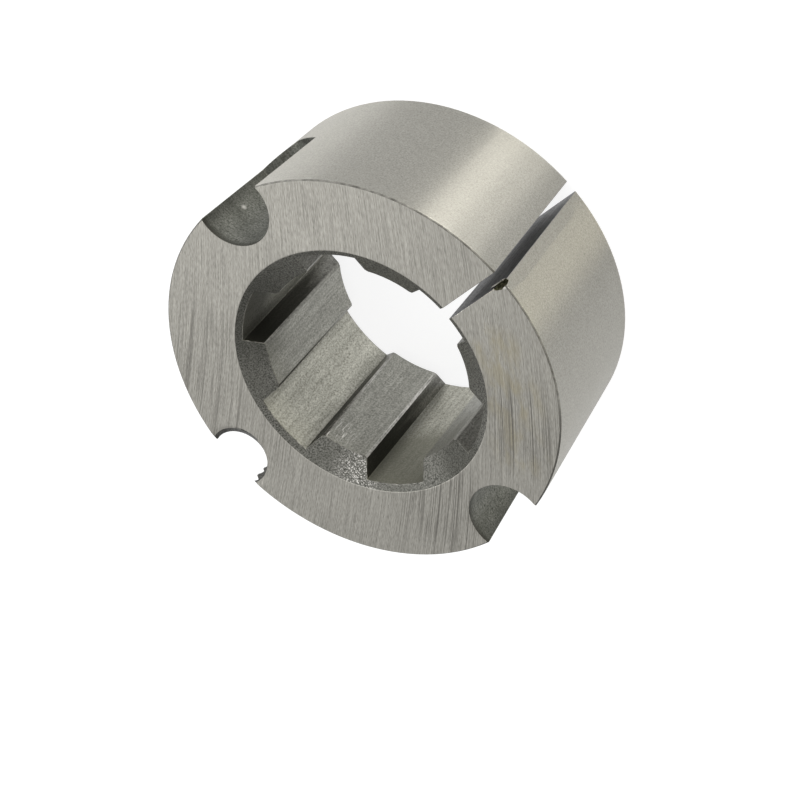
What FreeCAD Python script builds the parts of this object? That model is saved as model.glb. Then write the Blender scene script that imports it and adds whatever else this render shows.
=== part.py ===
import FreeCAD, Part
import math
import os

# Taper bush with a splined bore: one solid, machined all over.
# A short cone is bored with a straight-sided spline and slit along one side, so that it
# closes on its shaft when a hub pushes up the taper. Three half holes open in its rim; the
# other half of each is in the hub.
# Origin: centre of the small end's face. +Z runs along the axis to the large end, and +X
# runs through the slit. Lengths are in millimetres, angles in degrees from the slit.

# Tapered body; the wall runs from a groove's bottom out to the large end's rim
large_diameter = 57.15
length = 25.4
half_taper_deg = 4.0
wall = 11.1
rim_chamfer = 0.2

# Splined bore; the first groove is the one that the slit opens
groove_count = 6
groove_width = 8.7
groove_depth = 2.65
land_edge_break = 0.3
lead_in_width = 0.95
lead_in_deg = 30.0
major_diameter = large_diameter - 2 * wall
minor_diameter = major_diameter - 2 * groove_depth

# Slit, from the bore to the outside
slit_width = 1.65

# Plain half holes, drilled blind from the large end on each side of the slit
plain_hole_diameter = 10.8
plain_hole_inset = 1.48
plain_hole_angle_deg = 84.7
plain_hole_depth = 15.3
drill_point_deg = 118.0

# Tapped half hole, right through, at its thread's major diameter
tapped_hole_diameter = 9.525
tapped_hole_inset = 1.52
tapped_hole_angle_deg = 180.0

# How far each cutter runs past the faces that it breaks through
overrun = 2.0

AXIS = FreeCAD.Vector(0, 0, 1)


def polar(radius, angle_deg, z=0.0):
    angle = math.radians(angle_deg)
    return FreeCAD.Vector(radius * math.cos(angle), radius * math.sin(angle), z)


def taper_radius(z):
    return large_diameter / 2 - (length - z) * math.tan(math.radians(half_taper_deg))


def turned(outline, centre):
    # Solid of revolution about an upright axis, from (radius, height) points.
    points = [FreeCAD.Vector(radius, 0, z) for radius, z in outline + outline[:1]]
    solid = Part.Face(Part.makePolygon(points)).revolve(FreeCAD.Vector(), AXIS, 360)
    solid.translate(centre)
    return solid


def tapered_body():
    # The cone, with the sharp edge of each rim broken.
    lower_edge = rim_chamfer
    upper_edge = length - rim_chamfer
    outline = [
        (0, 0),
        (taper_radius(0) - rim_chamfer, 0),
        (taper_radius(lower_edge), lower_edge),
        (taper_radius(upper_edge), upper_edge),
        (taper_radius(length) - rim_chamfer, length),
        (0, length),
    ]
    return turned(outline, FreeCAD.Vector())


def groove_edges(angle_deg, z):
    # One groove of the spline: parallel flanks, a round bottom, and a broken edge where
    # each flank meets its land. It runs from the land before it to the land after it.
    major = major_diameter / 2
    minor = minor_diameter / 2
    half_width = groove_width / 2
    land_turn = math.degrees(math.asin(half_width / minor) + land_edge_break / minor)
    flank_top = math.sqrt(minor ** 2 - half_width ** 2) + land_edge_break
    flank_foot = math.sqrt(major ** 2 - half_width ** 2)

    def across(along, side):
        point = FreeCAD.Vector(along, side * half_width, z)
        return FreeCAD.Rotation(AXIS, angle_deg).multVec(point)

    before = polar(minor, angle_deg - land_turn, z)
    after = polar(minor, angle_deg + land_turn, z)
    bottom = polar(major, angle_deg, z)
    next_land = polar(minor, angle_deg + 180 / groove_count, z)
    next_before = polar(minor, angle_deg + 360 / groove_count - land_turn, z)
    return [
        Part.LineSegment(before, across(flank_top, -1)).toShape(),
        Part.LineSegment(across(flank_top, -1), across(flank_foot, -1)).toShape(),
        Part.Arc(across(flank_foot, -1), bottom, across(flank_foot, 1)).toShape(),
        Part.LineSegment(across(flank_foot, 1), across(flank_top, 1)).toShape(),
        Part.LineSegment(across(flank_top, 1), after).toShape(),
        Part.Arc(after, next_land, next_before).toShape(),
    ]


def spline_cutter():
    edges = []
    for index in range(groove_count):
        edges += groove_edges(index * 360 / groove_count, -overrun)
    return Part.Face(Part.Wire(edges)).extrude(AXIS * (length + 2 * overrun))


def lead_in_cutter(face_z, outward):
    # Cone that opens the bore's mouth at an end face; outward is +1 or -1 along the axis.
    slope = math.tan(math.radians(lead_in_deg))
    mouth_radius = major_diameter / 2 + lead_in_width
    wide_radius = mouth_radius + overrun / slope
    tip = FreeCAD.Vector(0, 0, face_z - outward * mouth_radius * slope)
    return Part.makeCone(0, wide_radius, wide_radius * slope, tip, AXIS * outward)


def slit_cutter():
    reach = large_diameter / 2 + overrun
    corner = FreeCAD.Vector(0, -slit_width / 2, -overrun)
    return Part.makeBox(reach, slit_width, length + 2 * overrun, corner)


def plain_hole_cutter(angle_deg):
    # Blind drilling with the drill's cone at its end.
    radius = plain_hole_diameter / 2
    shoulder_z = length - plain_hole_depth
    point_length = radius / math.tan(math.radians(drill_point_deg / 2))
    outline = [
        (0, shoulder_z - point_length),
        (radius, shoulder_z),
        (radius, length + overrun),
        (0, length + overrun),
    ]
    return turned(outline, polar(large_diameter / 2 - plain_hole_inset, angle_deg))


def tapped_hole_cutter():
    centre = polar(large_diameter / 2 - tapped_hole_inset, tapped_hole_angle_deg, -overrun)
    return Part.makeCylinder(tapped_hole_diameter / 2, length + 2 * overrun, centre)


def taper_bush():
    cutters = [
        spline_cutter(),
        lead_in_cutter(length, 1),
        lead_in_cutter(0, -1),
        slit_cutter(),
        plain_hole_cutter(plain_hole_angle_deg),
        plain_hole_cutter(-plain_hole_angle_deg),
        tapped_hole_cutter(),
    ]
    return tapered_body().cut(cutters).removeSplitter()


os.makedirs("parts", exist_ok=True)
bush = taper_bush()
bush.exportStep("parts/taper_bush.step")
print("taper_bush", bush.ShapeType, bush.isValid(), len(bush.Solids), round(bush.Volume, 1))
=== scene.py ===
import math

import bmesh
import bpy
from mathutils import Matrix, Vector, noise


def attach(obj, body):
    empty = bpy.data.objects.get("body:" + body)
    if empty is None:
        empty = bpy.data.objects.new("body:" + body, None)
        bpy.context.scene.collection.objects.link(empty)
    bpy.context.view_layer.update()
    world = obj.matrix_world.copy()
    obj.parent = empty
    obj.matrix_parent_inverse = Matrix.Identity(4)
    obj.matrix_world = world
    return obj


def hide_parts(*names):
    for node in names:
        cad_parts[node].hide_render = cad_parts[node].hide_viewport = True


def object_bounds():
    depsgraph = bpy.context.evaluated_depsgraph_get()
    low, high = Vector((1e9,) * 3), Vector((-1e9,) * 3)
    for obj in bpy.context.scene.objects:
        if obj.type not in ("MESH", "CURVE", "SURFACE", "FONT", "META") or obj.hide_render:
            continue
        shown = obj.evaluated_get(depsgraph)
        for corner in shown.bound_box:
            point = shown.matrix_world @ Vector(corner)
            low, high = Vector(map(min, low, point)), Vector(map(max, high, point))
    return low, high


# Looks of the taper bush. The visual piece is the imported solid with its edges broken, the
# turns of its thread added, one corner chipped, and a material for each way of machining
# that shows.
# Lengths are in metres and angles in degrees, in the frame of the solid: +Z runs along the
# axis to the large end, +X through the slit.
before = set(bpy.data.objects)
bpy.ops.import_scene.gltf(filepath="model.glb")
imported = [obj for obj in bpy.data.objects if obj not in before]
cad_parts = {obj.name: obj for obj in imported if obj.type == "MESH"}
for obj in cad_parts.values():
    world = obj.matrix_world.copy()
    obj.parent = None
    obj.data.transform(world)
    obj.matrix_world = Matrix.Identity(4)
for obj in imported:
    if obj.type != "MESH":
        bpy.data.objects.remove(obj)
cad_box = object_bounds()

MM = 0.001
CAD_NODE = "taper_bush"

# The large end as if its rim were sharp, and the length from the solid's box
large_radius = 28.575 * MM
half_taper_deg = 4.0
length = cad_box[1].z

# Sizes that tell the surfaces of the solid apart
mouth_radius = 18.425 * MM
land_radius = 14.825 * MM
groove_count = 6
slit_half_width = 0.825 * MM
plain_hole_radius = 5.4 * MM
plain_hole_inset = 1.48 * MM
plain_hole_angle_deg = 84.7

# Thread of the tapped half hole: 3/8 in with 16 turns to the inch. One turn's crest meets
# the large end's face at the start angle, seen from the hole's own axis. The hole's mouth is
# countersunk, and the first turn's crest is bent down a little inside its own radius.
thread_pitch = 25.4 / 16 * MM
thread_flank_deg = 30.0
thread_major_radius = 4.7625 * MM
thread_minor_radius = 3.85 * MM
thread_mouth_radius = 4.97 * MM
thread_mouth_depth = 0.2075 * MM
first_turn_radius = 4.3 * MM
first_turn_depth = 0.12 * MM
thread_hole_inset = 1.52 * MM
thread_hole_angle_deg = 180.0
thread_start_deg = -150.0

# Broken edges
edge_break = 0.07 * MM
sharp_edge_deg = 24.0

# A chip at the slit's outer corner on the large end, and the lip of metal that it pushed into
# the slit, which leans over towards +Y
chip_centre = Vector((28.0, -0.98, 25.4)) * MM
chip_half_size = Vector((1.25, 0.42, 1.2)) * MM
lip_centre = Vector((27.3, -0.68, 24.6)) * MM
lip_half_size = Vector((1.3, 0.11, 0.9)) * MM
lip_lean_deg = 12.0

# Grinding marks on the end faces: the edge of a wide wheel, fed along Y but for this turn. The
# lever is how far the wheel's centre lies to the side of the bush's axis.
grinding_radius = 191 * MM
grinding_lever = 107.6 * MM
grinding_turn_deg = 8.0

# Spots follow, each as its centre, its radius and the width of its soft edge

# Yellow stains on the large end's face
stains = [
    (Vector((20.3, -7.7, 25.4)) * MM, 2.0 * MM, 2.5 * MM),
    (Vector((17.0, -13.9, 25.4)) * MM, 2.5 * MM, 3.0 * MM),
    (Vector((12.4, -20.0, 25.4)) * MM, 2.0 * MM, 3.0 * MM),
]

# Deeper grinding marks on that face, and how strong they are
deep_marks = [
    (Vector((-20.0, 9.0, 25.4)) * MM, 10.0 * MM, 6.0 * MM, 0.6),
    (Vector((-4.0, -22.0, 25.4)) * MM, 5.0 * MM, 7.0 * MM, 1.0),
    (Vector((15.0, -17.5, 25.4)) * MM, 4.0 * MM, 6.0 * MM, 1.0),
]

# Torn bright grains on the large end's lead-in, a dark patch on it and one on the rim, and
# a darker side of the bore
torn_grains = (Vector((-12.5, -11.0, 25.0)) * MM, 1.0 * MM, 3.5 * MM)
lead_in_patch = (Vector((3.5, -16.8, 24.6)) * MM, 2.5 * MM, 3.5 * MM)
rim_patch = (Vector((14.5, -24.5, 25.3)) * MM, 5.5 * MM, 5.0 * MM)
dark_bore_side = (Vector((-8.0, 16.0, 24.0)) * MM, 5.0 * MM, 6.0 * MM)

# An olive film in one groove
groove_film = (Vector((-8.7, -15.1, 20.0)) * MM, 6.0 * MM, 4.0 * MM)

# Bright marks by the chip and scratched on a land, and a painted highlight on the wall of a
# plain half hole
face_nick = (Vector((28.2, -1.35, 25.4)) * MM, 0.1 * MM, 0.3 * MM)
land_scratches = (Vector((-13.8, -5.5, 21.2)) * MM, 1.8 * MM, 1.0 * MM)
hole_highlight = (Vector((-2.72, 25.63, 17.78)) * MM, 0.15 * MM, 0.35 * MM)

# Where one land's broken edge has a painted highlight
land_edge_highlight = (Vector((-10.6, -10.4, 14.0)) * MM, 9.0 * MM, 5.0 * MM)

# Painted shade on the flanks near the large end, strong up to the first X, away from the slit,
# and faint from the second one on. It ends between the two heights, and its edge runs lower or
# higher by the last value.
flank_shade_strong_x = -6.0 * MM
flank_shade_faint_x = 2.0 * MM
flank_shade_foot_z = 5.0 * MM
flank_shade_full_z = 12.0 * MM
flank_shade_run = 5.0 * MM

# Painted shade under the mouths of the plain half holes, between these depths below the face
mouth_shade_full_depth = 0.3 * MM
mouth_shade_foot_depth = 1.4 * MM

# Colours that more than one surface has
# The dark colour paints dark patches and also painted shade; the bright one paints bright marks
# and also painted highlights.
dark_patch_and_shade_color = (0.04, 0.04, 0.033)
bright_iron_and_highlight = (0.8, 0.78, 0.74)

# Camera, fitted to the outlines of both ends
camera_place = Vector((252.115, 47.198, 292.329)) * MM
camera_target = Vector((2.4267, -5.8603, 25.4)) * MM
camera_turn_deg = -140.222
camera_lens = 128.46
camera_sensor = 36.0
camera_clip_start = 10 * MM

# Lamps stand this far away, but for the one that hangs over the rear
lamp_distance = 0.9
near_lamp_distance = 0.3
white_light = (1.0, 1.0, 1.0)
warm_light = (1.0, 0.97, 0.9)
amber_light = (1.0, 0.93, 0.7)


def polar(radius, angle_deg, z=0.0):
    angle = math.radians(angle_deg)
    return Vector((radius * math.cos(angle), radius * math.sin(angle), z))


def flat_distance(point, axis_point):
    return math.hypot(point.x - axis_point.x, point.y - axis_point.y)


plain_hole_axes = [
    polar(large_radius - plain_hole_inset, plain_hole_angle_deg),
    polar(large_radius - plain_hole_inset, -plain_hole_angle_deg),
]
thread_axis = polar(large_radius - thread_hole_inset, thread_hole_angle_deg)


# Meshes

def add_object(name, data):
    made = bpy.data.objects.new(name, data)
    bpy.context.scene.collection.objects.link(made)
    return made


def add_built(name, built):
    mesh = bpy.data.meshes.new(name)
    built.to_mesh(mesh)
    built.free()
    return add_object(name, mesh)


def clean_solid():
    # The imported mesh, welded, with each flat surface as one face.
    weld_distance = 1e-7
    flat_within_deg = 0.2
    built = bmesh.new()
    built.from_mesh(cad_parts[CAD_NODE].data)
    bmesh.ops.remove_doubles(built, verts=built.verts, dist=weld_distance)
    limit = math.radians(flat_within_deg)
    bmesh.ops.dissolve_limit(built, angle_limit=limit, verts=built.verts, edges=built.edges)
    return add_built("bush", built)


def apply_modifiers(piece):
    depsgraph = bpy.context.evaluated_depsgraph_get()
    mesh = bpy.data.meshes.new_from_object(piece.evaluated_get(depsgraph))
    piece.modifiers.clear()
    piece.data = mesh


def break_edges(piece):
    bevel = piece.modifiers.new("edges", "BEVEL")
    bevel.width = edge_break
    bevel.segments = 2
    bevel.limit_method = "ANGLE"
    bevel.angle_limit = math.radians(sharp_edge_deg)
    bevel.use_clamp_overlap = False
    apply_modifiers(piece)


def combine(piece, other, operation):
    boolean = piece.modifiers.new("boolean", "BOOLEAN")
    boolean.operation = operation
    boolean.solver = "MANIFOLD"
    boolean.object = other
    apply_modifiers(piece)
    bpy.data.objects.remove(other)


def countersink(face_z, outward, wide, narrow, depth):
    # A cone that opens the tapped hole at an end face; outward is +1 or -1 along the axis. Its
    # radius falls from wide to narrow over the depth, and it runs on a little at both ends.
    overrun = 0.1 * MM
    sides = 96
    spread = overrun * (wide - narrow) / depth
    mouth = wide + spread
    throat = narrow - spread
    middle = thread_axis + Vector((0, 0, face_z - outward * depth / 2))
    low, high = (throat, mouth) if outward > 0 else (mouth, throat)
    built = bmesh.new()
    bmesh.ops.create_cone(
        built, cap_ends=True, segments=sides, radius1=low, radius2=high,
        depth=depth + 2 * overrun, matrix=Matrix.Translation(middle))
    return add_built("countersink", built)


def open_mouths(piece, wide, narrow, depth):
    combine(piece, countersink(length, 1, wide, narrow, depth), "DIFFERENCE")
    combine(piece, countersink(0, -1, wide, narrow, depth), "DIFFERENCE")


def rough_lump(centre, half_size, lean_deg):
    # An uneven lump, leaning over towards +Y.
    unevenness = 0.35
    lumps_per_radius = 1.7
    lean = Matrix.Rotation(math.radians(-lean_deg), 3, "X")
    built = bmesh.new()
    bmesh.ops.create_icosphere(built, subdivisions=3, radius=1.0)
    for vertex in built.verts:
        bulge = 1 + unevenness * noise.noise(vertex.co * lumps_per_radius)
        vertex.co = centre + lean @ (vertex.co * half_size * bulge)
    return add_built("lump", built)


def ridge_section():
    # The thread's ridge, as (radius, height) points about its middle. Its root lies inside the
    # solid, so that the two can be joined.
    root_overlap = 0.25 * MM
    root_half_width = thread_pitch * 7 / 16
    rise = thread_major_radius - thread_minor_radius
    crest_half_width = root_half_width - rise * math.tan(math.radians(thread_flank_deg))
    return [
        (thread_major_radius + root_overlap, -root_half_width),
        (thread_major_radius, -root_half_width),
        (thread_minor_radius, -crest_half_width),
        (thread_minor_radius, crest_half_width),
        (thread_major_radius, root_half_width),
        (thread_major_radius + root_overlap, root_half_width),
    ]


def thread_ridge():
    # One long helix, which runs past each end face by half of the spare turns.
    steps_per_turn = 48
    spare_turns = 3
    turns = round(length / thread_pitch) + spare_turns
    section = ridge_section()
    built = bmesh.new()
    rings = []
    for step in range(turns * steps_per_turn + 1):
        turn = step / steps_per_turn - turns + spare_turns / 2
        middle_z = length + turn * thread_pitch
        ring = []
        for radius, height in section:
            place = polar(radius, thread_start_deg + 360 * turn, middle_z + height)
            ring.append(built.verts.new(thread_axis + place))
        rings.append(ring)
    for low, high in zip(rings, rings[1:]):
        for index in range(len(section)):
            after = (index + 1) % len(section)
            built.faces.new((low[index], low[after], high[after], high[index]))
    built.faces.new(rings[0])
    built.faces.new(rings[-1])
    bmesh.ops.recalc_face_normals(built, faces=built.faces)
    return add_built("ridge", built)


def outer_envelope(solid):
    # The bush's outside without its slit and holes, a hair smaller than the solid.
    shrink = 0.9992
    centre = Vector((0, 0, length / 2))
    hull = bmesh.new()
    for vertex in solid.data.vertices:
        hull.verts.new(centre + (vertex.co - centre) * shrink)
    found = bmesh.ops.convex_hull(hull, input=hull.verts)
    inside = [part for part in found["geom_interior"] if isinstance(part, bmesh.types.BMVert)]
    bmesh.ops.delete(hull, geom=inside, context="VERTS")
    bmesh.ops.recalc_face_normals(hull, faces=hull.faces)
    return add_built("envelope", hull)


def bush_piece():
    piece = clean_solid()
    ridge = thread_ridge()
    open_mouths(ridge, first_turn_radius, thread_minor_radius, first_turn_depth)
    lip = rough_lump(lip_centre, lip_half_size, lip_lean_deg)
    for added in (ridge, lip):
        combine(added, outer_envelope(piece), "INTERSECT")
    open_mouths(piece, thread_mouth_radius, thread_major_radius, thread_mouth_depth)
    break_edges(piece)
    combine(piece, rough_lump(chip_centre, chip_half_size, 0.0), "DIFFERENCE")
    combine(piece, lip, "UNION")
    combine(piece, ridge, "UNION")
    return piece


# Which way of machining made a face

def taper_radius(z):
    return large_radius - (length - z) * math.tan(math.radians(half_taper_deg))


def in_chip(point):
    # Within the lump that cut the chip, and a little more, as the lump is uneven.
    reach = 1.3
    offset = point - chip_centre
    return math.hypot(*(offset[axis] / chip_half_size[axis] for axis in range(3))) < reach


def outer_surface(centre, normal, outward):
    # The surface of a face that lies outside, in the holes or in the slit, or None.
    near = 0.06 * MM
    end_face_rise = 0.9
    taper_outward = 0.95
    slit_wall_across = 0.5
    if flat_distance(centre, thread_axis) < first_turn_radius:
        return "tapped"
    if abs(normal.z) > end_face_rise and min(centre.z, length - centre.z) < near:
        return "ground"
    radius = math.hypot(centre.x, centre.y)
    if outward > taper_outward and radius > taper_radius(centre.z) - near:
        return "turned"
    if flat_distance(centre, thread_axis) < thread_mouth_radius + near:
        return "tapped"
    if min(flat_distance(centre, axis) for axis in plain_hole_axes) < plain_hole_radius + near:
        return "drilled"
    if abs(centre.y) < slit_half_width - near and centre.x > 0:
        return "lip"
    if in_chip(centre):
        return "chip"
    beside_slit = abs(centre.y) < slit_half_width + near and centre.x > 0
    if beside_slit and abs(normal.y) > slit_wall_across:
        return "sawn"
    if radius > mouth_radius + near:
        return "rim"
    return None


def bore_surface(centre, normal, outward):
    upright_rise = 0.12
    lead_in_rise = 0.8
    flank_outward = -0.5
    land_outward = -0.9
    groove_starts_after = 0.3 * MM
    if abs(normal.z) > upright_rise:
        return "lead_in" if abs(normal.z) > lead_in_rise else "edge"
    if outward > flank_outward:
        return "flank"
    if math.hypot(centre.x, centre.y) > land_radius + groove_starts_after:
        return "groove"
    return "land" if outward < land_outward else "land_edge_strip"


def surface_of(centre, normal):
    outward = Vector((centre.x, centre.y, 0)).normalized().dot(normal)
    outside = outer_surface(centre, normal, outward)
    return outside or bore_surface(centre, normal, outward)


# Materials. Each one is iron with the marks of one way of machining, in the solid's own
# coordinates, so that the marks stay where they are from every side.

# Noise lies about 0.5, so a range that starts well above that leaves only specks and lines
# of it. Over these ranges it makes a whole change of tone.
wide_range = (0.1, 0.9)
middle_range = (0.3, 0.7)
narrow_range = (0.35, 0.65)


class Paint:
    def __init__(self, name, mean_roughness):
        self.material = bpy.data.materials.new(name)
        self.material.use_nodes = True
        self.nodes = self.material.node_tree.nodes
        self.links = self.material.node_tree.links
        self.shader = self.nodes["Principled BSDF"]
        self.shader.inputs["Metallic"].default_value = 1.0
        self.shader.inputs["Roughness"].default_value = mean_roughness
        self.place = self.nodes.new("ShaderNodeTexCoord").outputs["Object"]
        self.noise_place = self.place

    def feed(self, value, socket):
        # A number, a colour or another node's output goes into a socket.
        if isinstance(value, bpy.types.NodeSocket):
            self.links.new(value, socket)
        elif isinstance(value, tuple) and socket.type == "RGBA":
            socket.default_value = (*value, 1)
        else:
            socket.default_value = value

    def mapped(self, vector_type, vector, turn_deg, size):
        node = self.nodes.new("ShaderNodeMapping")
        node.vector_type = vector_type
        self.feed(vector, node.inputs["Vector"])
        node.inputs["Rotation"].default_value = (0, 0, math.radians(turn_deg))
        node.inputs["Scale"].default_value = size
        return node.outputs["Vector"]

    def split(self, vector):
        node = self.nodes.new("ShaderNodeSeparateXYZ")
        self.feed(vector, node.inputs[0])
        return node.outputs

    def combined(self, x, y, z):
        node = self.nodes.new("ShaderNodeCombineXYZ")
        for value, socket in zip((x, y, z), node.inputs):
            self.feed(value, socket)
        return node.outputs[0]

    def noise(self, size, seed, detail):
        # Noise whose grains have that size along X, Y and Z.
        texture = self.nodes.new("ShaderNodeTexNoise")
        texture.noise_dimensions = "4D"
        self.feed(self.mapped("TEXTURE", self.noise_place, 0, size), texture.inputs["Vector"])
        texture.inputs["W"].default_value = seed
        texture.inputs["Scale"].default_value = 1.0
        texture.inputs["Detail"].default_value = detail
        return texture.outputs["Fac"]

    def fit(self, value, start, end, low=0.0, high=1.0):
        # low where the value is start or less, high where it is end or more.
        node = self.nodes.new("ShaderNodeMapRange")
        self.feed(value, node.inputs["Value"])
        node.inputs["From Min"].default_value = start
        node.inputs["From Max"].default_value = end
        node.inputs["To Min"].default_value = low
        node.inputs["To Max"].default_value = high
        return node.outputs["Result"]

    def math(self, operation, first, second):
        node = self.nodes.new("ShaderNodeMath")
        node.operation = operation
        self.feed(first, node.inputs[0])
        self.feed(second, node.inputs[1])
        return node.outputs[0]

    def blend(self, first, second, share):
        # Two layers of marks; the share is the second one's.
        rest = self.fit(first, *middle_range, high=1 - share)
        return self.math("ADD", rest, self.fit(second, *middle_range, high=share))

    def mix(self, factor, first, second):
        # The node's sockets share their names, so its colours are found by their places.
        first_color = 6
        second_color = 7
        mixed_color = 2
        node = self.nodes.new("ShaderNodeMix")
        node.data_type = "RGBA"
        self.feed(factor, node.inputs["Factor"])
        self.feed(first, node.inputs[first_color])
        self.feed(second, node.inputs[second_color])
        return node.outputs[mixed_color]

    def cover(self, tone, mask, share, color):
        # The colour over the tone, where the mask is 1, as strongly as the share says.
        return self.mix(self.math("MULTIPLY", mask, share), tone, color)

    def spot(self, centre, radius, soft):
        # 1 within the radius about a point, falling to 0 over the soft width.
        node = self.nodes.new("ShaderNodeVectorMath")
        node.operation = "DISTANCE"
        self.feed(self.place, node.inputs[0])
        node.inputs[1].default_value = centre
        return self.fit(node.outputs["Value"], radius, radius + soft, low=1.0, high=0.0)

    def along(self, axis):
        return self.split(self.place)[axis]

    def groove_corner(self):
        # 0 along the middle of each groove of the spline, 1 where its flanks begin.
        flanks_below = 0.1
        middle_above = 0.6
        azimuth = self.math("ARCTAN2", self.along("Y"), self.along("X"))
        wave = self.math("COSINE", self.math("MULTIPLY", azimuth, groove_count), 0.0)
        return self.fit(wave, flanks_below, middle_above, low=1.0, high=0.0)

    def height(self, value, depth):
        bump = self.nodes.new("ShaderNodeBump")
        bump.inputs["Strength"].default_value = 1.0
        bump.inputs["Distance"].default_value = depth
        self.feed(value, bump.inputs["Height"])
        self.feed(bump.outputs["Normal"], self.shader.inputs["Normal"])

    def draw_out_round_axis(self, amount):
        # Gloss drawn out across marks that run round Z.
        quarter_turn = 0.25
        tangent = self.nodes.new("ShaderNodeTangent")
        tangent.direction_type = "RADIAL"
        tangent.axis = "Z"
        self.feed(tangent.outputs[0], self.shader.inputs["Tangent"])
        self.shader.inputs["Anisotropic"].default_value = amount
        self.shader.inputs["Anisotropic Rotation"].default_value = quarter_turn

    def follow_wheel(self, amount):
        # Noise made after this runs along the wheel's arcs, across them and up, and the gloss
        # is drawn out across them.
        x, y, z = self.split(self.mapped("TEXTURE", self.place, grinding_turn_deg, (1, 1, 1)))
        lever = self.math("ADD", x, grinding_lever)
        square = self.math("SUBTRACT", grinding_radius ** 2, self.math("MULTIPLY", lever, lever))
        reach = self.math("SQRT", square, 0.0)
        self.noise_place = self.combined(x, self.math("ADD", y, reach), z)
        across = self.combined(self.math("MULTIPLY", lever, -1.0), reach, 0.0)
        tangent = self.mapped("VECTOR", across, grinding_turn_deg, (1, 1, 1))
        self.feed(tangent, self.shader.inputs["Tangent"])
        self.shader.inputs["Anisotropic"].default_value = amount

    def color(self, value):
        self.feed(value, self.shader.inputs["Base Color"])

    def roughness(self, value):
        self.feed(value, self.shader.inputs["Roughness"])


def face_scratches(paint, cloud):
    # Short scratches, and bundles of long ones. They are faint, fainter still where the cloud
    # is thin, and deep in places.
    short = paint.noise((8 * MM, 0.12 * MM, 5 * MM), seed=4.0, detail=0.0)
    long = paint.noise((25 * MM, 0.15 * MM, 40 * MM), seed=7.0, detail=0.0)
    bundle = paint.noise((40 * MM, 0.7 * MM, 40 * MM), seed=8.0, detail=1.0)
    bundled = paint.math("MULTIPLY", paint.fit(long, 0.52, 0.58), paint.fit(bundle, *narrow_range))
    scratch = paint.math("MAXIMUM", paint.fit(short, 0.6, 0.66, high=0.6), bundled)
    depth = paint.fit(cloud, 0.4, 0.7, low=0.1, high=0.3)
    for centre, radius, soft, strength in deep_marks:
        here = paint.math("MULTIPLY", paint.spot(centre, radius, soft), strength)
        depth = paint.math("MAXIMUM", depth, here)
    return paint.math("MULTIPLY", scratch, depth)


def with_stains(paint, tone):
    stained = (0.36, 0.32, 0.21)
    smear = paint.noise((2.4 * MM, 2.0 * MM, 3 * MM), seed=6.0, detail=4.0)
    smear = paint.fit(smear, 0.42, 0.62)
    for centre, radius, soft in stains:
        stain = paint.math("MULTIPLY", paint.spot(centre, radius, soft), smear)
        tone = paint.cover(tone, stain, 0.5, stained)
    return tone


def ground_face():
    # Grinding marks in wide arcs, with scratches, specks and yellow stains.
    dark = (0.18, 0.174, 0.155)
    light = (0.56, 0.544, 0.494)
    clouded = (0.32, 0.31, 0.28)
    scratched = (0.10, 0.095, 0.083)
    speckled = (0.12, 0.115, 0.10)
    paint = Paint("ground_face", 0.42)
    paint.follow_wheel(0.5)
    fine = paint.noise((6 * MM, 0.14 * MM, 5 * MM), seed=1.0, detail=2.0)
    hair = paint.noise((0.7 * MM, 0.12 * MM, 5 * MM), seed=2.0, detail=2.0)
    cloud = paint.noise((7 * MM, 5 * MM, 5 * MM), seed=3.0, detail=3.0)
    speck = paint.noise((0.35 * MM, 0.25 * MM, 0.3 * MM), seed=5.0, detail=2.0)
    lines = paint.blend(fine, hair, 0.5)
    tone = paint.mix(lines, dark, light)
    tone = paint.cover(tone, paint.fit(cloud, *narrow_range), 0.15, clouded)
    tone = with_stains(paint, tone)
    tone = paint.cover(tone, face_scratches(paint, cloud), 0.85, scratched)
    tone = paint.cover(tone, paint.fit(speck, 0.66, 0.76), 0.5, speckled)
    paint.color(paint.cover(tone, paint.spot(*face_nick), 0.8, bright_iron_and_highlight))
    paint.roughness(paint.fit(lines, *wide_range, low=0.48, high=0.36))
    paint.height(lines, 0.002 * MM)
    return paint.material


def turned_taper():
    # Satin, with a fine grain, hardly a ring round the axis and a few pits.
    dark = (0.24, 0.234, 0.212)
    light = (0.42, 0.41, 0.372)
    clouded = (0.30, 0.292, 0.262)
    pitted = (0.10, 0.095, 0.085)
    paint = Paint("turned_taper", 0.34)
    grain = paint.noise((0.22 * MM, 0.22 * MM, 0.18 * MM), seed=12.0, detail=3.0)
    ring = paint.noise((25 * MM, 25 * MM, 0.15 * MM), seed=11.0, detail=2.0)
    cloud = paint.noise((6 * MM, 6 * MM, 4 * MM), seed=13.0, detail=3.0)
    pit = paint.noise((0.5 * MM, 0.5 * MM, 0.3 * MM), seed=14.0, detail=1.0)
    marks = paint.blend(grain, ring, 0.12)
    tone = paint.mix(marks, dark, light)
    tone = paint.cover(tone, paint.fit(cloud, *narrow_range), 0.2, clouded)
    paint.color(paint.cover(tone, paint.fit(pit, 0.74, 0.80), 0.7, pitted))
    paint.roughness(paint.fit(marks, *wide_range, low=0.4, high=0.34))
    paint.height(marks, 0.0012 * MM)
    paint.draw_out_round_axis(0.95)
    return paint.material


def turned_rim():
    # The narrow chamfers at the taper's ends, dull and dark.
    dark = (0.10, 0.097, 0.088)
    light = (0.24, 0.236, 0.216)
    patch = (0.06, 0.058, 0.052)
    paint = Paint("turned_rim", 0.6)
    grain = paint.noise((0.8 * MM, 0.8 * MM, 0.8 * MM), seed=21.0, detail=2.0)
    tone = paint.mix(paint.fit(grain, *middle_range), dark, light)
    paint.color(paint.cover(tone, paint.spot(*rim_patch), 0.75, patch))
    return paint.material


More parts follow.
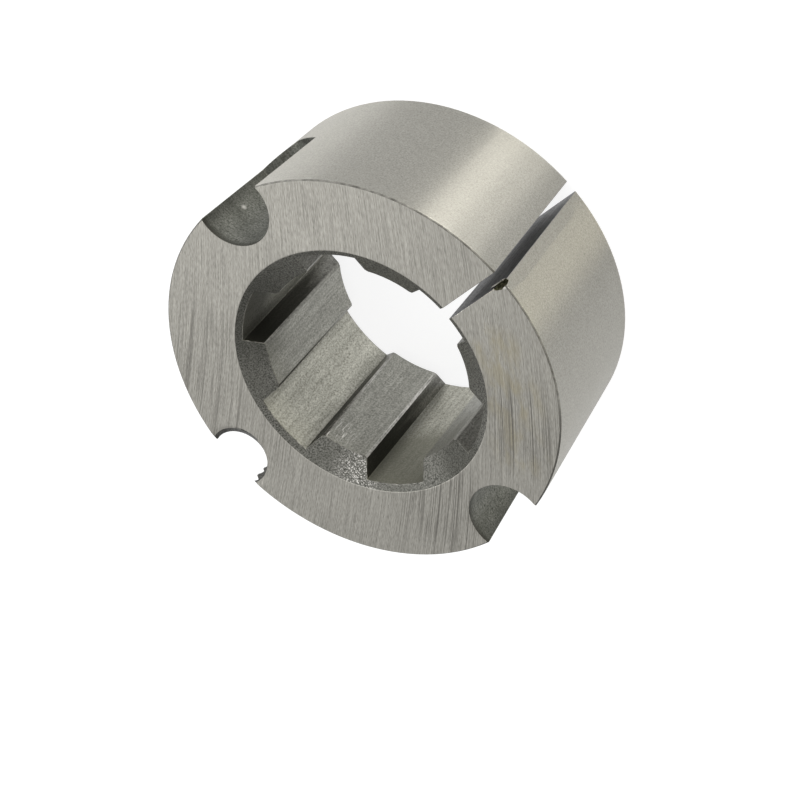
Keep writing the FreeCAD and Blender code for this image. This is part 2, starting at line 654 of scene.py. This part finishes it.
def turned_lead_in():
    # Dark and coarse, with bright grains in one place, where the tool tore the iron.
    dark = (0.06, 0.06, 0.053)
    light = (0.24, 0.237, 0.215)
    clouded = (0.12, 0.12, 0.105)
    paint = Paint("turned_lead_in", 0.5)
    grain = paint.noise((0.2 * MM, 0.2 * MM, 0.2 * MM), seed=31.0, detail=2.0)
    cloud = paint.noise((3 * MM, 3 * MM, 3 * MM), seed=32.0, detail=3.0)
    fleck = paint.noise((0.2 * MM, 0.2 * MM, 0.2 * MM), seed=33.0, detail=1.0)
    tone = paint.mix(paint.fit(grain, *narrow_range), dark, light)
    tone = paint.cover(tone, paint.fit(cloud, *narrow_range), 0.3, clouded)
    # Darker on one side of the bore
    tone = paint.cover(tone, paint.spot(*dark_bore_side), 0.5, dark_patch_and_shade_color)
    tone = paint.cover(tone, paint.spot(*lead_in_patch), 0.5, dark_patch_and_shade_color)
    torn = paint.math("MULTIPLY", paint.fit(fleck, 0.52, 0.66), paint.spot(*torn_grains))
    paint.color(paint.cover(tone, torn, 0.9, bright_iron_and_highlight))
    paint.roughness(paint.fit(grain, *middle_range, low=0.58, high=0.42))
    paint.height(grain, 0.012 * MM)
    return paint.material


def broached(name, dark, light, seed):
    # Grainy, with faint long marks along the bore. The paint and the tone so far.
    paint = Paint(name, 0.45)
    grain = paint.noise((0.22 * MM, 0.22 * MM, 0.28 * MM), seed=seed + 1, detail=2.0)
    streak = paint.noise((0.35 * MM, 0.35 * MM, 8 * MM), seed=seed, detail=2.0)
    cloud = paint.noise((3 * MM, 3 * MM, 6 * MM), seed=seed + 2, detail=3.0)
    marks = paint.blend(grain, streak, 0.3)
    paint.roughness(paint.fit(marks, *wide_range, low=0.52, high=0.4))
    paint.height(marks, 0.01 * MM)
    tone = paint.mix(marks, dark, light)
    return paint, paint.cover(tone, paint.fit(cloud, *narrow_range), 0.25, dark)


def broached_land():
    # Darker on one side of the bore, with scratches in one place.
    dark = (0.17, 0.17, 0.15)
    light = (0.47, 0.465, 0.42)
    paint, tone = broached("broached_land", dark, light, seed=41.0)
    line = paint.noise((0.2 * MM, 0.2 * MM, 1.5 * MM), seed=44.0, detail=1.0)
    scratch = paint.math("MULTIPLY", paint.fit(line, 0.58, 0.66), paint.spot(*land_scratches))
    # Darker on one side of the bore
    tone = paint.cover(tone, paint.spot(*dark_bore_side), 0.3, dark_patch_and_shade_color)
    paint.color(paint.cover(tone, scratch, 0.8, bright_iron_and_highlight))
    return paint.material


def broached_groove():
    # The lightest, with painted shade in its corners, darker on one side of the bore, and a film
    # in one groove.
    dark = (0.22, 0.217, 0.183)
    light = (0.70, 0.69, 0.61)
    olive = (0.2, 0.198, 0.155)
    paint, tone = broached("broached_groove", dark, light, seed=45.0)
    # Painted shade in the corners of the grooves
    tone = paint.cover(tone, paint.groove_corner(), 0.35, dark_patch_and_shade_color)
    # Darker on one side of the bore
    tone = paint.cover(tone, paint.spot(*dark_bore_side), 0.75, dark_patch_and_shade_color)
    paint.color(paint.cover(tone, paint.spot(*groove_film), 0.7, olive))
    return paint.material


def broached_flank():
    # Dark, with painted shade near the large end, whose edge runs down in streaks.
    dark = (0.10, 0.098, 0.087)
    light = (0.36, 0.355, 0.325)
    paint, tone = broached("broached_flank", dark, light, seed=49.0)
    run = paint.noise((1.2 * MM, 1.2 * MM, 12 * MM), seed=52.0, detail=2.0)
    run = paint.fit(run, *middle_range, low=-flank_shade_run, high=flank_shade_run)
    flank_shade = paint.fit(paint.math("ADD", paint.along("Z"), run), flank_shade_foot_z, flank_shade_full_z)
    share = paint.fit(paint.along("X"), flank_shade_strong_x, flank_shade_faint_x, low=0.85, high=0.1)
    # Painted shade on the flanks near the large end
    tone = paint.cover(tone, flank_shade, share, dark_patch_and_shade_color)
    # Darker on one side of the bore
    paint.color(paint.cover(tone, paint.spot(*dark_bore_side), 0.5, dark_patch_and_shade_color))
    return paint.material


def highlighted_land_edge():
    # The broken edge of a land: fine bright and dark lines along it, brightest where a highlight
    # is painted on.
    dark = (0.08, 0.078, 0.07)
    light = (0.36, 0.355, 0.32)
    paint = Paint("highlighted_land_edge", 0.42)
    line = paint.noise((0.2 * MM, 0.2 * MM, 7 * MM), seed=34.0, detail=2.0)
    grain = paint.noise((0.3 * MM, 0.3 * MM, 0.5 * MM), seed=35.0, detail=2.0)
    marks = paint.blend(line, grain, 0.5)
    # A painted highlight on one stretch of the edge
    highlighted = paint.math("MULTIPLY", marks, paint.spot(*land_edge_highlight))
    paint.color(paint.cover(paint.mix(marks, dark, light), highlighted, 0.9, bright_iron_and_highlight))
    return paint.material


def broken_grain():
    # Inside the chip: coarse, dull and olive.
    dark = (0.05, 0.05, 0.03)
    light = (0.2, 0.195, 0.13)
    paint = Paint("broken_grain", 0.6)
    grain = paint.noise((0.25 * MM, 0.25 * MM, 0.25 * MM), seed=36.0, detail=2.0)
    paint.color(paint.mix(paint.fit(grain, *narrow_range), dark, light))
    paint.height(grain, 0.03 * MM)
    return paint.material


def pushed_lip():
    # Bright where the iron was pushed over.
    dark = (0.45, 0.44, 0.4)
    paint = Paint("pushed_lip", 0.35)
    grain = paint.noise((0.4 * MM, 0.2 * MM, 0.2 * MM), seed=37.0, detail=2.0)
    paint.color(paint.mix(paint.fit(grain, *narrow_range), dark, bright_iron_and_highlight))
    return paint.material


def broken_edge():
    # The rounded edges where the lead-in cones cut the spline.
    dark = (0.08, 0.08, 0.07)
    light = (0.3, 0.295, 0.27)
    paint = Paint("broken_edge", 0.6)
    grain = paint.noise((0.5 * MM, 0.5 * MM, 0.5 * MM), seed=39.0, detail=3.0)
    paint.color(paint.mix(paint.fit(grain, *narrow_range), dark, light))
    return paint.material


def sawn_slit():
    # Dark and blue-grey, grainy and scored along the slit.
    dark = (0.05, 0.05, 0.052)
    light = (0.36, 0.36, 0.37)
    clouded = (0.09, 0.09, 0.093)
    paint = Paint("sawn_slit", 0.5)
    grain = paint.noise((0.25 * MM, 0.25 * MM, 0.3 * MM), seed=50.0, detail=2.0)
    score = paint.noise((0.25 * MM, 2 * MM, 8 * MM), seed=51.0, detail=3.0)
    cloud = paint.noise((1.5 * MM, 2 * MM, 3 * MM), seed=52.0, detail=3.0)
    marks = paint.blend(grain, score, 0.5)
    tone = paint.mix(marks, dark, light)
    paint.color(paint.cover(tone, paint.fit(cloud, *narrow_range), 0.5, clouded))
    paint.roughness(paint.fit(marks, *wide_range, low=0.58, high=0.42))
    paint.height(marks, 0.012 * MM)
    return paint.material


def drilled_hole():
    # Dull and dark, with faint rings from the drill, painted shade under the hole's mouth and a
    # painted highlight on its wall.
    dark = (0.055, 0.057, 0.049)
    light = (0.25, 0.253, 0.227)
    clouded = (0.065, 0.067, 0.057)
    paint = Paint("drilled_hole", 0.55)
    ring = paint.noise((6 * MM, 6 * MM, 0.2 * MM), seed=61.0, detail=3.0)
    grain = paint.noise((0.24 * MM, 0.24 * MM, 0.24 * MM), seed=62.0, detail=2.0)
    cloud = paint.noise((2.5 * MM, 2.5 * MM, 3 * MM), seed=63.0, detail=3.0)
    marks = paint.blend(grain, ring, 0.25)
    tone = paint.mix(marks, dark, light)
    tone = paint.cover(tone, paint.fit(cloud, 0.4, 0.6), 0.4, clouded)
    # Painted shade under the hole's mouth
    mouth_shade = paint.fit(paint.along("Z"), length - mouth_shade_foot_depth, length - mouth_shade_full_depth)
    tone = paint.cover(tone, mouth_shade, 0.8, dark_patch_and_shade_color)
    # A painted highlight on the hole's wall
    paint.color(paint.cover(tone, paint.spot(*hole_highlight), 0.4, bright_iron_and_highlight))
    paint.roughness(paint.fit(marks, *wide_range, low=0.62, high=0.48))
    paint.height(marks, 0.006 * MM)
    return paint.material


def tapped_thread():
    # Dark and grainy.
    dark = (0.04, 0.04, 0.036)
    light = (0.13, 0.128, 0.12)
    paint = Paint("tapped_thread", 0.5)
    grain = paint.noise((0.3 * MM, 0.3 * MM, 0.15 * MM), seed=71.0, detail=3.0)
    paint.color(paint.mix(paint.fit(grain, *middle_range), dark, light))
    paint.height(grain, 0.006 * MM)
    return paint.material


materials = {
    "ground": ground_face(),
    "turned": turned_taper(),
    "rim": turned_rim(),
    "lead_in": turned_lead_in(),
    "land": broached_land(),
    "groove": broached_groove(),
    "flank": broached_flank(),
    "land_edge_strip": highlighted_land_edge(),
    "edge": broken_edge(),
    "sawn": sawn_slit(),
    "chip": broken_grain(),
    "lip": pushed_lip(),
    "drilled": drilled_hole(),
    "tapped": tapped_thread(),
}


def dress(piece):
    names = list(materials)
    mesh = piece.data
    mesh.materials.clear()
    for name in names:
        mesh.materials.append(materials[name])
    for face in mesh.polygons:
        face.material_index = names.index(surface_of(face.center, face.normal))
    mesh.shade_smooth()
    mesh.set_sharp_from_angle(angle=math.radians(sharp_edge_deg))


def keep_flats_flat(piece):
    # Each corner takes its normal from the larger faces about it, not from the narrow edges.
    largest_only = 100
    normals = piece.modifiers.new("normals", "WEIGHTED_NORMAL")
    normals.mode = "FACE_AREA"
    normals.weight = largest_only
    normals.keep_sharp = True
    apply_modifiers(piece)


bush = bush_piece()
dress(bush)
keep_flats_flat(bush)
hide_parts(CAD_NODE)
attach(bush, "root")


# Floor, world, lamps and camera

def middle_and_half(range_deg):
    # A range of angles as its middle and half its width, in radians.
    low, high = range_deg
    return math.radians((low + high) / 2), math.radians((high - low) / 2)


def add_floor():
    # Grey, and lifted to white where the camera or a gloss sees it. It keeps a faint shadow.
    reach = 3.0
    albedo = 0.25
    lift = 0.86
    bpy.ops.mesh.primitive_plane_add(size=2 * reach)
    floor = bpy.context.object
    floor.name = "floor"
    paint = Paint("floor", 0.9)
    paint.shader.inputs["Metallic"].default_value = 0.0
    paint.color((albedo, albedo, albedo))
    path = paint.nodes.new("ShaderNodeLightPath")
    seen = paint.math("MAXIMUM", path.outputs["Is Camera Ray"], path.outputs["Is Glossy Ray"])
    seen = paint.math("MAXIMUM", seen, path.outputs["Is Transmission Ray"])
    paint.shader.inputs["Emission Color"].default_value = (1, 1, 1, 1)
    paint.feed(paint.math("MULTIPLY", seen, lift), paint.shader.inputs["Emission Strength"])
    floor.data.materials.append(paint.material)


def add_world():
    # A white room, light on the window's side and dim on the other.
    window_side = Vector((-0.383, 0.821, 0.423))
    dim = 0.2
    light = 1.05
    world = bpy.data.worlds.new("studio")
    bpy.context.scene.world = world
    world.use_nodes = True
    nodes = world.node_tree.nodes
    links = world.node_tree.links
    direction = nodes.new("ShaderNodeTexCoord")
    facing = nodes.new("ShaderNodeVectorMath")
    facing.operation = "DOT_PRODUCT"
    facing.inputs[1].default_value = window_side
    brightness = nodes.new("ShaderNodeMapRange")
    brightness.inputs["From Min"].default_value = -1.0
    brightness.inputs["To Min"].default_value = dim
    brightness.inputs["To Max"].default_value = light
    links.new(direction.outputs["Generated"], facing.inputs[0])
    links.new(facing.outputs["Value"], brightness.inputs["Value"])
    links.new(brightness.outputs["Result"], nodes["Background"].inputs["Strength"])
    nodes["Background"].inputs["Color"].default_value = (1, 1, 1, 1)


def add_lamp(name, distance, azimuths_deg, elevations_deg, radiance, color):
    # A soft box that looks at the origin and fills that range of azimuth and elevation. A
    # lamp's power over its area and pi is its radiance.
    azimuth, half_width = middle_and_half(azimuths_deg)
    elevation, half_height = middle_and_half(elevations_deg)
    data = bpy.data.lights.new(name, "AREA")
    data.shape = "RECTANGLE"
    data.size = 2 * distance * math.tan(half_width) * math.cos(elevation)
    data.size_y = 2 * distance * math.tan(half_height)
    data.energy = radiance * math.pi * data.size * data.size_y
    data.color = color
    lamp = add_object(name, data)
    direction = polar(math.cos(elevation), math.degrees(azimuth), math.sin(elevation))
    lamp.location = direction * distance
    lamp.rotation_euler = direction.to_track_quat("Z", "Y").to_euler()
    lamp.visible_camera = False


def add_lamps():
    # Low warm strips in front, which the taper mirrors, and soft boxes at the sides and rear.
    low_strip = (2, 12)
    side_box = (3, 27)
    overhead = (44, 78)
    add_lamp("front_edge", lamp_distance, (21, 34.5), low_strip, 38.0, warm_light)
    add_lamp("front_glow", lamp_distance, (5, 21), low_strip, 17.0, warm_light)
    add_lamp("front_right", lamp_distance, (-37, -15), low_strip, 13.0, amber_light)
    add_lamp("right_glow", lamp_distance, (-105, -52), side_box, 1.9, white_light)
    add_lamp("left_box", lamp_distance, (88, 123), side_box, 4.9, white_light)
    add_lamp("rear_box", near_lamp_distance, (140, 186), overhead, 1.2, white_light)


def add_camera():
    data = bpy.data.cameras.new("camera")
    data.lens = camera_lens
    data.sensor_width = camera_sensor
    data.clip_start = camera_clip_start
    camera = add_object("camera", data)
    look = (camera_target - camera_place).to_track_quat("-Z", "Y").to_matrix()
    turn = Matrix.Rotation(math.radians(camera_turn_deg), 3, "Z")
    camera.matrix_world = Matrix.Translation(camera_place) @ (look @ turn).to_4x4()
    bpy.context.scene.camera = camera


add_floor()
add_world()
add_lamps()
add_camera()
bpy.context.scene.view_settings.view_transform = "Standard"
